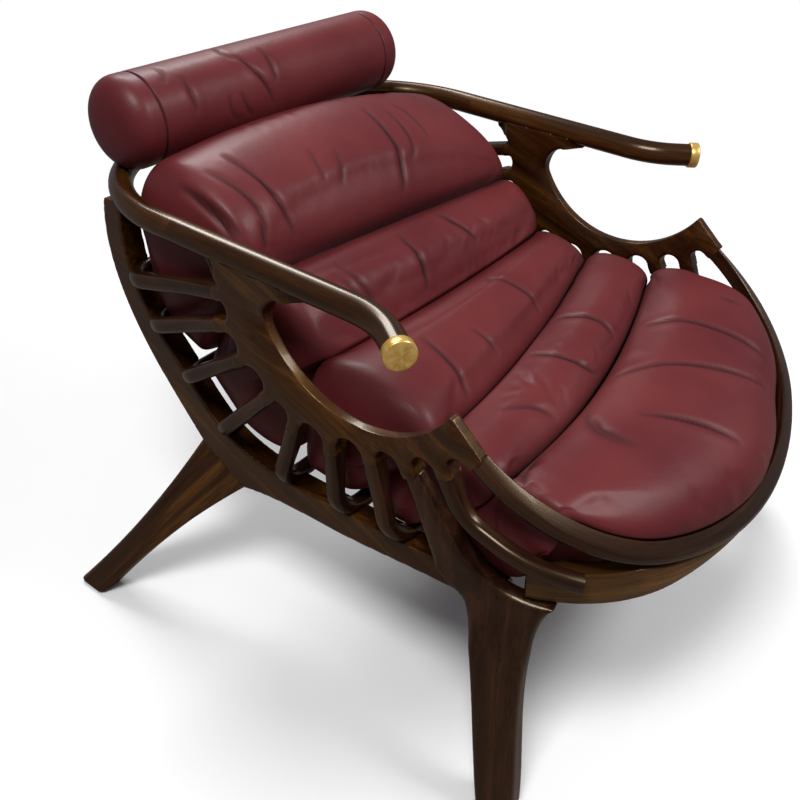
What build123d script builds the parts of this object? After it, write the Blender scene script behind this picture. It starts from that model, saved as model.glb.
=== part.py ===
from build123d import *
import os
from math import atan2, cos, degrees, hypot, radians, sin, sqrt, tan

# A lounge chair. Two hand-shaped side boards carry the arm rail and hold a cradle of bent ribs.
# Two keels outside the ribs and four splayed legs carry the cradle. A leather pad of five
# stuffed rolls lies in it, with a loose bolster for the head.
# X runs across the chair, Y towards its back and Z up, with the floor at Z = 0.

# Main sizes, in millimetres
overall_depth = 926
arm_height = 572
side_reach = 319
joint_play = 0.1
pad_play = 0.4

# Side boards: the cut-out under the arm, the tip in front and the fingers along the lower edge
board_thickness = 30
finger_length = 10
notch_rise_share = 0.42
tip_share = (0.285, 0.869)
opening_bottom_share = (0.437, 0.750)
opening_back_share = (0.566, 0.895)
opening_shoulder_share = (0.561, 0.941)
opening_top_share = (0.537, 0.968)
arm_root_front_share = (0.502, 0.980)
arm_root_back_share = (0.670, 0.989)
first_notch_share = (0.645, 0.958)

# Arm rail, from the brass cap of one arm round the back to the other
rail_diameter = 32
rail_slope = 2.7
rail_front_share = 0.324
arm_flare = 41
arm_flare_run = 56
arm_flare_radius = 110
rail_corner_share = 0.3439
rail_joint_share = 0.7242
peg_diameter = 10
peg_length = 60

# Brass caps on the arm ends
cap_diameter = 36
cap_length = 13
cap_chamfer = 1.2
spigot_diameter = 14
spigot_length = 24

# Ribs: bars bent into a U, from finger to finger round the pad
rib_bar = 21
rib_corner = 7
rib_bend_radius = 52
rib_root_shares = (
    (0.640, 0.932),
    (0.646, 0.855),
    (0.616, 0.787),
    (0.570, 0.726),
    (0.527, 0.685),
    (0.465, 0.673),
    (0.401, 0.696),
)
rib_crossing_shares = (
    (0.864, 0.851),
    (0.833, 0.740),
    (0.775, 0.624),
    (0.707, 0.510),
    (0.582, 0.453),
    (0.470, 0.451),
    (0.375, 0.455),
)
dowel_diameter = 8
dowel_length = 30

# Front rim, a U in a sloping plane, and the apron below it
rim_width = 26
rim_depth = 22
rim_corner = 7
rim_corner_share = 0.922
rim_joint_share = (0.249, 0.788)
rim_front_share = 0.5285
rim_front_inset = 17
rim_dowel_length = 44
apron_thickness = 25
apron_corner = 4
apron_inset = 16
apron_front_inset = 14
apron_corner_share = 0.906
apron_back_share = 0.181
apron_bottom_share = 0.489
apron_top_share = 0.568

# Braces from the last fingers forward over the apron's ends
brace_root_share = (0.292, 0.747)
brace_knee_share = (0.265, 0.642)
brace_run_share = (0.218, 0.619)
brace_knee_radius = 55
brace_run_radius = 175
brace_run_angle = 33

# Keels: a post down the back and a rail under the ribs, in one board
keel_thickness = 33
keel_inset = 32
post_inner_share = (0.861, 1.024)
post_outer_shares = ((0.898, 1.024), (0.904, 0.857), (0.873, 0.708), (0.815, 0.559))
leg_joint_top_share = (0.761, 0.446)
leg_joint_bottom_share = (0.675, 0.355)
keel_under_shares = ((0.580, 0.376), (0.470, 0.381), (0.378, 0.393))
keel_end_shares = ((0.222, 0.405), (0.222, 0.458))
post_dowel_length = 30

# Front legs: the strut from the eighth finger, the yoke under it and the tapered shaft
strut_root_share = (0.343, 0.710)
strut_foot_share = (0.2754, 0.5245)
strut_foot_width = 50
yoke_thickness = 32
yoke_inset = 14
yoke_angle = 11
yoke_middle_share = 0.215
yoke_bottom_share = 0.440
yoke_back_share = 0.262
yoke_crotch_share = (0.216, 0.500)
yoke_front_share = 0.157
yoke_toe_share = 0.138
yoke_toe_curve_share = (0.152, 0.468)
leg_section_shares = ((0.440, 0.2095, 0.956), (0.372, 0.2013, 1.004), (0.245, 0.1830, 1.078))
leg_section_sizes = ((32, 97), (34, 76), (37, 58))
front_foot_share = 0.150
front_foot_splay = 57
front_foot_width = 42
front_foot_depth = 46
leg_corner = 9

# Rear legs: from the keel's corner out and back to the floor
rear_foot_share = 0.897
rear_foot_splay = 121
rear_foot_width = 40
rear_foot_depth = 54
rear_leg_waist_share = 0.30
rear_leg_waist_width = 36
rear_leg_waist_depth = 68

# Bolts through the keels into the front legs, pegs of the rear legs and glides under the feet
bolt_diameter = 8
bolt_length = 50
bolt_head_diameter = 16
bolt_head_height = 5
bolt_shares = ((0.262, 0.440), (0.229, 0.432))
leg_peg_diameter = 12
leg_peg_length = 64
leg_peg_spread_share = 0.24
glide_diameter = 28
glide_height = 3
glide_edge = 0.8

# Pad: five stuffed rolls between six valleys, and where each valley lies at the middle and sides
pad_inset = 24
pad_station_shares = (0, 0.2, 0.4, 0.6, 0.77, 0.88, 0.95, 0.985, 1)
pad_end_scales = (1, 1, 1, 1, 0.995, 0.97, 0.90, 0.80, 0.66)
pad_side_share = 0.95
valley_right_shares = ((0.243, 0.676), (0.344, 0.692), (0.552, 0.736), (0.657, 0.906), (0.840, 1.042))
valley_middle_shares = ((0.262, 0.640), (0.386, 0.652), (0.543, 0.736), (0.643, 0.888), (0.875, 1.0695))
valley_left_shares = ((0.334, 0.696), (0.450, 0.699), (0.552, 0.736), (0.622, 0.872), (0.840, 1.042))
crown_shares = (0.27, 0.31, 0.27, 0.37, 0.315)
crown_side_scale = 0.8
pad_front_play = 5
pad_front_back = 36
pad_front_base_share = 0.515
pad_seat_play = 0.8

# Head bolster: a stuffed cylinder with domed ends, on the back rail
bolster_diameter = 120
bolster_inset = 54
bolster_angle = 61
bolster_play = 3.9
bolster_end_round = 36
bolster_seam_inset = 52
bolster_seam_width = 5
bolster_seam_depth = 2


def chair_point(shares):
    """The point (Y, Z) at these shares of the depth from the front and of the arm height."""
    return Vector((shares[0] - 0.5) * overall_depth, shares[1] * arm_height)


def at_reach(across, point):
    """The point of space at this distance across the chair and this point (Y, Z) of its side."""
    return Vector(across, point.X, point.Y)


def quarter_left(direction):
    """The direction (Y, Z) a quarter turn to the left."""
    return Vector(-direction.Y, direction.X)


def cross_plane(point, heading):
    """The plane through the chair's X axis and a heading (Y, Z), with its own Y along the heading."""
    return Plane(at_reach(0, point), x_dir=(1, 0, 0), z_dir=(0, -heading.Y, heading.X))


def slope_heading(slope):
    """The heading (Y, Z) that runs forward and down at this slope in degrees."""
    return Vector(-cos(radians(slope)), -sin(radians(slope)))


def side_place(side, point, heading):
    """The plane across a heading (Y, Z) at this point of the right or left side board's middle."""
    return Plane(at_reach(side * side_reach, point), z_dir=at_reach(0, heading))


def both_sides(right):
    """The piece of the other side, mirrored in the chair's middle plane."""
    with BuildPart() as left:
        mirror(right.part, about=Plane.YZ)
    return left


def save(name, piece):
    """Labels a finished piece and writes its STEP file."""
    piece.part.label = name
    export_step(piece.part, f"parts/{name}.step")


os.makedirs("parts", exist_ok=True)

# Places that several pieces share
keel_reach = side_reach - keel_inset
yoke_reach = side_reach - yoke_inset
pad_reach = side_reach - pad_inset
front_foot_reach = side_reach + front_foot_splay
rear_foot_reach = side_reach + rear_foot_splay
bolster_length = 2 * (side_reach - bolster_inset)
rail_front = (rail_front_share - 0.5) * overall_depth
rail_back_run = (overall_depth / 2 - rail_diameter / 2 - rail_front) / cos(radians(rail_slope))
rail_corner_radius = rail_corner_share * rail_back_run
rail_plane = Plane(
    (0, rail_front, arm_height),
    x_dir=(1, 0, 0),
    z_dir=(0, -sin(radians(rail_slope)), cos(radians(rail_slope))),
)
rim_joint = chair_point(rim_joint_share)
rim_run = rim_joint.X + overall_depth / 2 - rim_front_inset
rim_slope = degrees(atan2(rim_joint.Y - rim_front_share * arm_height, rim_run))
rim_heading = slope_heading(rim_slope)
rim_reach = (
    rim_joint.X + overall_depth / 2 - rim_depth / 2 * sin(radians(rim_slope))
) / cos(radians(rim_slope)) - rim_width / 2
rim_corner_radius = rim_corner_share * rim_reach

rib_roots = [chair_point(shares) for shares in rib_root_shares]
rib_crossings = [chair_point(shares) for shares in rib_crossing_shares]
rib_headings = [(end - root).normalized() for root, end in zip(rib_roots, rib_crossings)]
strut_root = chair_point(strut_root_share)
strut_foot = chair_point(strut_foot_share)
strut_heading = (strut_foot - strut_root).normalized()
brace_root = chair_point(brace_root_share)
brace_knee = chair_point(brace_knee_share)
brace_heading = (brace_knee - brace_root).normalized()
rim_root = rim_joint - rim_heading * finger_length

finger_roots = [*rib_roots, strut_root, brace_root, rim_root]
finger_headings = [*rib_headings, strut_heading, brace_heading, rim_heading]
finger_widths = [rib_bar] * (len(finger_roots) - 1) + [rim_depth]
finger_ends = [root + heading * finger_length for root, heading in zip(finger_roots, finger_headings)]


def rail_middle(y):
    """The point (Y, Z) of the rail's middle line at this Y."""
    return Vector(y, arm_height + (y - rail_front) * tan(radians(rail_slope)))


def rail_corner_point(across):
    """The point of the rail's middle line, in its back corner, at this distance from the middle."""
    offset = abs(across) - (side_reach - rail_corner_radius)
    run = rail_back_run - rail_corner_radius + sqrt(rail_corner_radius**2 - offset**2)
    return rail_plane.from_local_coords(Vector(-across, run))


def three_arc_angle(half_width, corner_radius, reach):
    """Turn of each corner arc of a U made of two corner arcs and a flatter front arc, in degrees."""
    corner_offset = half_width - corner_radius
    extra = reach - corner_radius
    setback = (corner_offset**2 - extra**2) / (2 * extra)
    return degrees(atan2(setback, corner_offset)), reach + setback


def three_arc_depth(x, half_width, corner_radius, reach):
    """How far forward such a U reaches at this distance from the middle."""
    turn, front_radius = three_arc_angle(half_width, corner_radius, reach)
    corner_offset = half_width - corner_radius
    if x > corner_offset + corner_radius * cos(radians(turn)):
        return sqrt(max(corner_radius**2 - (x - corner_offset) ** 2, 0))
    return sqrt(front_radius**2 - x**2) - (front_radius - reach)


def three_arc_line(half_width, corner_radius, reach):
    """Draws such a U, from its right end round the front to its left end."""
    turn, front_radius = three_arc_angle(half_width, corner_radius, reach)
    right = JernArc((-half_width, 0), (0, 1), corner_radius, -turn)
    front = JernArc(right @ 1, right % 1, front_radius, 2 * turn - 180)
    JernArc(front @ 1, front % 1, corner_radius, -turn)


# Arm rail. Each arm is a round bar that turns out at its front end, where a brass cap is let in.
arm_end = (-side_reach - arm_flare, 0)
arm_knee = (-side_reach, arm_flare_run)
rail_joint = (rail_joint_share - rail_front_share) * overall_depth / cos(radians(rail_slope))
cap_front = rail_plane.from_local_coords(Vector(*arm_end))
end_heading = (cap_front - rail_plane.from_local_coords(Vector(*arm_knee))).normalized()

with BuildPart() as brass_cap_right:
    with BuildSketch(Plane(cap_front, z_dir=-end_heading)):
        Circle(cap_diameter / 2)
    extrude(amount=cap_length)
    chamfer(brass_cap_right.edges(), cap_chamfer)
    with BuildSketch(Plane(cap_front - end_heading * cap_length, z_dir=-end_heading)):
        Circle(spigot_diameter / 2)
    extrude(amount=spigot_length)
brass_cap_left = both_sides(brass_cap_right)

peg_planes = [
    Plane(rail_plane.from_local_coords(Vector(side * side_reach, rail_joint)), z_dir=rail_plane.y_dir)
    for side in (-1, 1)
]
with BuildPart() as arm_right:
    with BuildLine(rail_plane) as arm_path:
        cap_seat = cap_front - end_heading * cap_length
        FilletPolyline(cap_seat, arm_knee, (-side_reach, rail_joint), radius=arm_flare_radius)
    with BuildSketch(Plane(arm_path.line @ 0, z_dir=arm_path.line % 0)):
        Circle(rail_diameter / 2)
    sweep(path=arm_path.line)
    with Locations(Plane(arm_path.line @ 0, z_dir=end_heading)):
        Cylinder(
            spigot_diameter / 2 + joint_play,
            2 * (spigot_length + joint_play),
            mode=Mode.SUBTRACT,
        )
    with Locations(peg_planes[0]):
        Cylinder(peg_diameter / 2 + joint_play, peg_length + 2 * joint_play, mode=Mode.SUBTRACT)
arm_left = both_sides(arm_right)

post_dowel_drop = Vector(0, 0, rail_diameter / 2 - post_dowel_length / 6)
post_dowel_places = [rail_corner_point(side * keel_reach) - post_dowel_drop for side in (1, -1)]
with BuildPart() as post_dowels:
    with Locations(*post_dowel_places):
        Cylinder(dowel_diameter / 2, post_dowel_length)

with BuildPart() as back_rail:
    with BuildLine(rail_plane) as back_path:
        FilletPolyline(
            (-side_reach, rail_joint),
            (-side_reach, rail_back_run),
            (side_reach, rail_back_run),
            (side_reach, rail_joint),
            radius=rail_corner_radius,
        )
    with BuildSketch(Plane(back_path.line @ 0, z_dir=back_path.line % 0)):
        Circle(rail_diameter / 2)
    sweep(path=back_path.line)
    with Locations(*peg_planes):
        Cylinder(peg_diameter / 2 + joint_play, peg_length + 2 * joint_play, mode=Mode.SUBTRACT)
    with Locations(*post_dowel_places):
        Cylinder(dowel_diameter / 2 + joint_play, post_dowel_length + 2 * joint_play, mode=Mode.SUBTRACT)

with BuildPart() as rail_pegs:
    with Locations(*peg_planes):
        Cylinder(peg_diameter / 2, peg_length)

# Side board. One board is cut to the outline of a hand: the hole of the arm, a tip in front and
# ten fingers along the lower edge. The arm is saddled on its top edge.
with BuildPart() as side_panel_right:
    with BuildSketch(Plane.YZ.offset(-side_reach)):
        with BuildLine():
            tip = chair_point(tip_share)
            opening_back = chair_point(opening_back_share)
            opening_top = chair_point(opening_top_share)
            arm_root_front = chair_point(arm_root_front_share)
            arm_root_back = chair_point(arm_root_back_share)
            rail_over_front = rail_middle(arm_root_front.X)
            rail_over_back = rail_middle(arm_root_back.X)
            ThreePointArc(tip, chair_point(opening_bottom_share), opening_back)
            ThreePointArc(opening_back, chair_point(opening_shoulder_share), opening_top)
            Polyline(opening_top, arm_root_front, rail_over_front, rail_over_back, arm_root_back)
            upper = finger_roots[0] + quarter_left(finger_headings[0]) * finger_widths[0] / 2
            ThreePointArc(arm_root_back, chair_point(first_notch_share), upper)
            for number, root in enumerate(finger_roots):
                heading = finger_headings[number]
                across = quarter_left(heading) * finger_widths[number] / 2
                forward = heading * finger_length
                lower = root - across
                if number == len(finger_roots) - 1:
                    Polyline(root + across, root + across + forward, lower + forward, tip)
                    break
                Polyline(root + across, root + across + forward, lower + forward, lower)
                next_heading = finger_headings[number + 1]
                next_across = quarter_left(next_heading) * finger_widths[number + 1] / 2
                next_upper = finger_roots[number + 1] + next_across
                gap = (next_upper - lower).length
                inward = -(heading + next_heading).normalized()
                ThreePointArc(lower, (lower + next_upper) / 2 + inward * gap * notch_rise_share, next_upper)
        make_face()
    extrude(amount=board_thickness / 2, both=True)
    add(arm_right.part, mode=Mode.SUBTRACT)
    for end, heading in zip(finger_ends[:-1], finger_headings[:-1]):
        with Locations(side_place(-1, end, heading)):
            Cylinder(dowel_diameter / 2 + joint_play, dowel_length + 2 * joint_play, mode=Mode.SUBTRACT)
    with Locations(side_place(-1, rim_joint, rim_heading)):
        Cylinder(dowel_diameter / 2 + joint_play, rim_dowel_length + 2 * joint_play, mode=Mode.SUBTRACT)
side_panel_left = both_sides(side_panel_right)

# Ribs. Each is one bar bent twice, doweled to a finger of either side board.
ribs = []
for root, heading, crossing, end in zip(rib_roots, rib_headings, rib_crossings, finger_ends):
    reach = (crossing - end).length
    with BuildPart() as rib:
        with BuildLine(cross_plane(end, heading)) as rib_path:
            FilletPolyline(
                (-side_reach, 0),
                (-side_reach, reach),
                (side_reach, reach),
                (side_reach, 0),
                radius=rib_bend_radius,
            )
        with BuildSketch(Plane(rib_path.line @ 0, x_dir=(1, 0, 0), z_dir=rib_path.line % 0)):
            RectangleRounded(rib_bar, rib_bar, rib_corner)
        sweep(path=rib_path.line)
        for side in (-1, 1):
            with Locations(side_place(side, end, heading)):
                Cylinder(dowel_diameter / 2 + joint_play, dowel_length + 2 * joint_play, mode=Mode.SUBTRACT)
    ribs.append(rib)

with BuildPart() as rib_dowels:
    for end, heading in zip(finger_ends[:-1], finger_headings[:-1]):
        for side in (-1, 1):
            with Locations(side_place(side, end, heading)):
                Cylinder(dowel_diameter / 2, dowel_length)
with BuildPart() as rim_dowels:
    for side in (-1, 1):
        with Locations(side_place(side, rim_joint, rim_heading)):
            Cylinder(dowel_diameter / 2, rim_dowel_length)

# Front rim. A bent bar that carries the side boards' sweep round the front of the seat.
rim_plane = cross_plane(rim_joint, rim_heading)
with BuildPart() as front_rim:
    with BuildLine(rim_plane) as rim_path:
        three_arc_line(side_reach, rim_corner_radius, rim_reach)
    with BuildSketch(Plane(rim_path.line @ 0, x_dir=(1, 0, 0), z_dir=rim_path.line % 0)):
        RectangleRounded(rim_width, rim_depth, rim_corner)
    sweep(path=rim_path.line)
    for side in (-1, 1):
        with Locations(side_place(side, rim_joint, rim_heading)):
            Cylinder(dowel_diameter / 2 + joint_play, rim_dowel_length + 2 * joint_play, mode=Mode.SUBTRACT)

# Braces. The ninth finger's bar drops, turns forward and is let into the apron's outer face.
brace_run = chair_point(brace_run_share)
run_heading = (brace_run - brace_knee).normalized()
with BuildPart() as front_brace_right:
    drop_points = [at_reach(-side_reach, point) for point in (finger_ends[8], brace_knee, brace_run)]
    with BuildLine(Plane.YZ.offset(-side_reach)) as brace_drop:
        FilletPolyline(*drop_points, radius=brace_knee_radius)
    with BuildLine(cross_plane(brace_run, run_heading)) as brace_sweep:
        JernArc((-side_reach, 0), (0, 1), brace_run_radius, -brace_run_angle)
    brace_wire = Wire(brace_drop.edges() + brace_sweep.edges())
    with BuildSketch(Plane(brace_drop.line @ 0, x_dir=(1, 0, 0), z_dir=brace_drop.line % 0)):
        RectangleRounded(rib_bar, rib_bar, rib_corner)
    sweep(path=brace_wire)
    with Locations(side_place(-1, finger_ends[8], brace_heading)):
        Cylinder(dowel_diameter / 2 + joint_play, dowel_length + 2 * joint_play, mode=Mode.SUBTRACT)
front_brace_left = both_sides(front_brace_right)

# Apron. A second bent board under the rim joins the tops of the front legs.
apron_bottom = apron_bottom_share * arm_height
apron_top = apron_top_share * arm_height
apron_back = (apron_back_share - 0.5) * overall_depth
apron_reach = rim_joint.X + overall_depth / 2 - apron_front_inset - apron_thickness / 2
apron_origin = Vector(rim_joint.X, (apron_bottom + apron_top) / 2)
apron_plane = cross_plane(apron_origin, Vector(-1, 0))
with BuildPart() as front_apron:
    with BuildLine(apron_plane) as apron_path:
        three_arc_line(side_reach - apron_inset, apron_corner_share * apron_reach, apron_reach)
    with BuildSketch(Plane(apron_path.line @ 0, x_dir=(1, 0, 0), z_dir=apron_path.line % 0)):
        RectangleRounded(apron_thickness, apron_top - apron_bottom, apron_corner)
    sweep(path=apron_path.line)
    split(bisect_by=Plane.XZ.offset(-apron_back), keep=Keep.TOP)
    split(bisect_by=rim_plane.offset(rim_depth / 2), keep=Keep.TOP)
    add(front_brace_right.part, mode=Mode.SUBTRACT)
    add(front_brace_left.part, mode=Mode.SUBTRACT)

# Front leg. The strut of the eighth finger widens into a yoke that holds the apron's end, and the
# yoke runs down into the tapered, splayed shaft.
turn = radians(yoke_angle)
yoke_middle = (yoke_middle_share - 0.5) * overall_depth
strut_across = quarter_left(strut_heading) * strut_foot_width / 2
yoke_plane = Plane(
    (-yoke_reach, yoke_middle, 0),
    x_dir=(-sin(turn), cos(turn), 0),
    z_dir=(cos(turn), sin(turn), 0),
)


def yoke_point(point):
    """The point (Y, Z) of the chair as drawn on the yoke's turned plane."""
    return ((point.X - yoke_middle) / cos(turn), point.Y)


bolt_places = [at_reach(-keel_reach + keel_thickness / 2, chair_point(shares)) for shares in bolt_shares]
with BuildPart() as front_leg_right:
    strut_z = at_reach(0, strut_heading)
    with BuildSketch(Plane(at_reach(-side_reach, finger_ends[7]), x_dir=(1, 0, 0), z_dir=strut_z)):
        RectangleRounded(rib_bar, rib_bar, rib_corner)
    strut_reach = yoke_reach + (strut_foot.X - yoke_middle) * tan(turn)
    with BuildSketch(Plane(at_reach(-strut_reach, strut_foot), x_dir=(1, 0, 0), z_dir=strut_z)):
        RectangleRounded(yoke_thickness, strut_foot_width, rib_corner)
    loft()
    with BuildSketch(yoke_plane):
        with BuildLine():
            back_low = yoke_point(chair_point((yoke_back_share, yoke_bottom_share)))
            back_high = yoke_point(strut_foot + strut_across)
            fork = yoke_point(strut_foot - strut_across)
            crotch = yoke_point(chair_point(yoke_crotch_share))
            toe_curve = yoke_point(chair_point(yoke_toe_curve_share))
            seat_back = yoke_point(Vector(apron_back, apron_bottom))
            seat_front = yoke_point(Vector((yoke_toe_share - 0.5) * overall_depth, apron_bottom))
            front_low = yoke_point(chair_point((yoke_front_share, yoke_bottom_share)))
            Polyline(back_low, back_high, fork)
            ThreePointArc(fork, crotch, seat_back)
            Line(seat_back, seat_front)
            ThreePointArc(seat_front, toe_curve, front_low)
            Line(front_low, back_low)
        make_face()
    extrude(amount=yoke_thickness / 2, both=True)
    for (rise_share, depth_share, reach_share), (width, depth) in zip(leg_section_shares, leg_section_sizes):
        middle = chair_point((depth_share, rise_share))
        section_place = at_reach(-reach_share * side_reach, middle)
        with BuildSketch(Plane(section_place, x_dir=(cos(turn), sin(turn), 0))):
            RectangleRounded(width, depth, leg_corner)
    foot_middle = (-front_foot_reach, (front_foot_share - 0.5) * overall_depth, glide_height)
    with BuildSketch(Plane(foot_middle, x_dir=(cos(turn), sin(turn), 0))):
        RectangleRounded(front_foot_width, front_foot_depth, leg_corner)
    loft()
    with Locations(side_place(-1, finger_ends[7], strut_heading)):
        Cylinder(dowel_diameter / 2 + joint_play, dowel_length + 2 * joint_play, mode=Mode.SUBTRACT)
    for place in bolt_places:
        with Locations(Plane(place, z_dir=(-1, 0, 0))):
            Cylinder(bolt_diameter / 2 + joint_play, 2 * (bolt_length + joint_play), mode=Mode.SUBTRACT)
front_leg_left = both_sides(front_leg_right)

# Keel. One board per side: a post up to the back rail and a rail under the ribs, notched for each.
leg_joint_top = chair_point(leg_joint_top_share)
leg_joint_bottom = chair_point(leg_joint_bottom_share)
post_inner = chair_point(post_inner_share)
post_outer = [chair_point(shares) for shares in post_outer_shares]
keel_under = [chair_point(shares) for shares in keel_under_shares]
keel_end_low, keel_end_high = [chair_point(shares) for shares in keel_end_shares]
joint_middle = (leg_joint_top + leg_joint_bottom) / 2
joint_line = leg_joint_bottom - leg_joint_top
joint_normal = quarter_left(joint_line.normalized())
joint_place = at_reach(-keel_reach, joint_middle)
joint_plane = Plane(joint_place, x_dir=(1, 0, 0), z_dir=at_reach(0, joint_normal))
leg_peg_spread = joint_line.length * leg_peg_spread_share
with BuildPart() as keel_right:
    with BuildSketch(Plane.YZ.offset(-keel_reach)):
        with BuildLine():
            Spline(post_inner, *rib_crossings, keel_end_high)
            Polyline(keel_end_high, keel_end_low)
            Spline(keel_end_low, *reversed(keel_under), leg_joint_bottom)
            Polyline(leg_joint_bottom, leg_joint_top)
            Spline(leg_joint_top, *reversed(post_outer))
            Polyline(post_outer[0], post_inner)
        make_face()
    extrude(amount=keel_thickness / 2, both=True)
    for rib in ribs:
        add(rib.part, mode=Mode.SUBTRACT)
    add(back_rail.part, mode=Mode.SUBTRACT)
    add(front_leg_right.part, mode=Mode.SUBTRACT)
    with Locations(post_dowel_places[0]):
        Cylinder(dowel_diameter / 2 + joint_play, post_dowel_length + 2 * joint_play, mode=Mode.SUBTRACT)
    for place in bolt_places:
        with Locations(Plane(place, z_dir=(-1, 0, 0))):
            Cylinder(bolt_diameter / 2 + joint_play, 2 * (bolt_length + joint_play), mode=Mode.SUBTRACT)
    with BuildSketch(joint_plane):
        with Locations((0, -leg_peg_spread), (0, leg_peg_spread)):
            Circle(leg_peg_diameter / 2 + joint_play)
    extrude(amount=leg_peg_length / 2 + joint_play, both=True, mode=Mode.SUBTRACT)
keel_left = both_sides(keel_right)

# Rear leg. It carries on the keel's lower corner, out and back to the floor.
rear_foot = Vector((rear_foot_share - 0.5) * overall_depth, glide_height)
foot_place = at_reach(-rear_foot_reach, rear_foot)
waist_place = joint_place + (foot_place - joint_place) * rear_leg_waist_share
with BuildPart() as rear_leg_right:
    with BuildSketch(joint_plane):
        RectangleRounded(keel_thickness, joint_line.length, leg_corner)
    waist_normal = (joint_normal + Vector(0, -1)).normalized()
    with BuildSketch(Plane(waist_place, x_dir=(1, 0, 0), z_dir=at_reach(0, waist_normal))):
        RectangleRounded(rear_leg_waist_width, rear_leg_waist_depth, leg_corner)
    with BuildSketch(Plane(foot_place, x_dir=(1, 0, 0), z_dir=(0, 0, -1))):
        RectangleRounded(rear_foot_width, rear_foot_depth, leg_corner)
    loft()
    with BuildSketch(joint_plane):
        with Locations((0, -leg_peg_spread), (0, leg_peg_spread)):
            Circle(leg_peg_diameter / 2 + joint_play)
    extrude(amount=leg_peg_length / 2 + joint_play, both=True, mode=Mode.SUBTRACT)
rear_leg_left = both_sides(rear_leg_right)

# Pegs, two in each rear leg's joint.
with BuildPart() as leg_pegs:
    with BuildSketch(joint_plane):
        with Locations((0, -leg_peg_spread), (0, leg_peg_spread)):
            Circle(leg_peg_diameter / 2)
    extrude(amount=leg_peg_length / 2, both=True)
    mirror(about=Plane.YZ)

# Bolts hold the front end of each keel to the inner face of the leg's yoke.
with BuildPart() as leg_bolts:
    for place in bolt_places:
        with BuildSketch(Plane(place, x_dir=(0, 1, 0), z_dir=(-1, 0, 0))):
            Circle(bolt_diameter / 2)
        extrude(amount=bolt_length)
        with BuildSketch(Plane(place, x_dir=(0, 1, 0), z_dir=(1, 0, 0))):
            Circle(bolt_head_diameter / 2)
        extrude(amount=bolt_head_height)
    mirror(about=Plane.YZ)

# Glides, one under each foot.
with BuildPart() as foot_glides:
    for place in (Vector(*foot_middle), foot_place):
        with BuildSketch(Plane((place.X, place.Y, 0))):
            Circle(glide_diameter / 2)
        extrude(amount=glide_height)
    chamfer(foot_glides.edges().group_by(Axis.Z)[0], glide_edge)
    mirror(about=Plane.YZ)

# Pad. Five stuffed rolls, each drawn in at its ends, between the valleys where the cover is stitched.
base_points = [
    crossing - heading * (rib_bar / 2 + pad_seat_play)
    for crossing, heading in zip(rib_crossings, rib_headings)
]
roll_bases = [base_points[6:], base_points[5:], base_points[4:6], base_points[2:5], base_points[:3]]


def valley_point(number, across):
    """Where this valley's bottom lies at this distance to the left of the middle, as (Y, Z)."""
    if number == 0:
        inset = rim_width / 2 + pad_front_play
        depth = three_arc_depth(
            abs(across), side_reach - inset, rim_corner_radius - inset, rim_reach - inset
        )
        return rim_joint + rim_heading * depth
    right = chair_point(valley_right_shares[number - 1])
    middle = chair_point(valley_middle_shares[number - 1])
    left = chair_point(valley_left_shares[number - 1])
    side = across / (pad_side_share * pad_reach)
    return middle + (left - right) / 2 * side + ((left + right) / 2 - middle) * side**2


def roll_outline(number, across, scale):
    """Draws one roll's section: its base on the ribs, both sides and the crowned top."""
    front_valley = valley_point(number, across)
    back_valley = valley_point(number + 1, across)
    base = roll_bases[number][::-1]
    if number == 0:
        base = [Vector(front_valley.X + pad_front_back, pad_front_base_share * arm_height), *base]
    inset_top = (back_valley - front_valley).normalized() * pad_play / 2
    inset_base = (base[-1] - base[0]).normalized() * pad_play / 2
    points = [front_valley + inset_top, base[0] + inset_base, *base[1:-1], base[-1] - inset_base]
    points.append(back_valley - inset_top)
    flattening = 1 - (1 - crown_side_scale) * (across / (pad_side_share * pad_reach)) ** 2
    rise = quarter_left(back_valley - front_valley) * crown_shares[number] * flattening
    crown = (points[0] + points[-1]) / 2 + rise
    centre = sum(points, crown) / (len(points) + 1)
    points = [centre + (point - centre) * scale for point in points]
    crown = centre + (crown - centre) * scale
    Polyline(*points)
    ThreePointArc(points[-1], crown, points[0])


stations = list(zip(pad_station_shares, pad_end_scales))
stations = [(-share, scale) for share, scale in reversed(stations[1:])] + stations
rolls = []
for number in range(len(roll_bases)):
    with BuildPart() as roll:
        for share, scale in stations:
            with BuildSketch(Plane.YZ.offset(share * pad_reach)):
                with BuildLine():
                    roll_outline(number, share * pad_reach, scale)
                make_face()
        loft(ruled=True)
    rolls.append(roll)

# Head bolster. A stuffed cylinder with domed ends and a seam near either end, laid on the back rail.
bolster_flat = bolster_length / 2 - bolster_end_round
rail_seat = rail_corner_point(bolster_flat)
bolster_rise = radians(bolster_angle)
bolster_gap = (bolster_diameter + rail_diameter) / 2 + bolster_play
bolster_away = Vector(0, -cos(bolster_rise), sin(bolster_rise))
bolster_axis = Vector(0, rail_seat.Y, rail_seat.Z) + bolster_away * bolster_gap
with BuildPart() as head_bolster:
    with BuildSketch(Plane(bolster_axis, x_dir=(1, 0, 0), z_dir=(0, -1, 0))):
        with BuildLine():
            half = bolster_length / 2
            radius = bolster_diameter / 2
            seam = half - bolster_seam_inset
            seam_half = bolster_seam_width / 2
            for side in (-1, 1):
                Line((side * bolster_flat, radius), (side * (seam + seam_half), radius))
                ThreePointArc(
                    (side * (seam + seam_half), radius),
                    (side * seam, radius - bolster_seam_depth),
                    (side * (seam - seam_half), radius),
                )
                JernArc((side * bolster_flat, radius), (side, 0), bolster_end_round, -side * 90)
                Line((side * half, radius - bolster_end_round), (side * half, 0))
            Line((-seam + seam_half, radius), (seam - seam_half, radius))
            Line((-half, 0), (half, 0))
        make_face()
    revolve(axis=Axis(bolster_axis, (1, 0, 0)))

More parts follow.
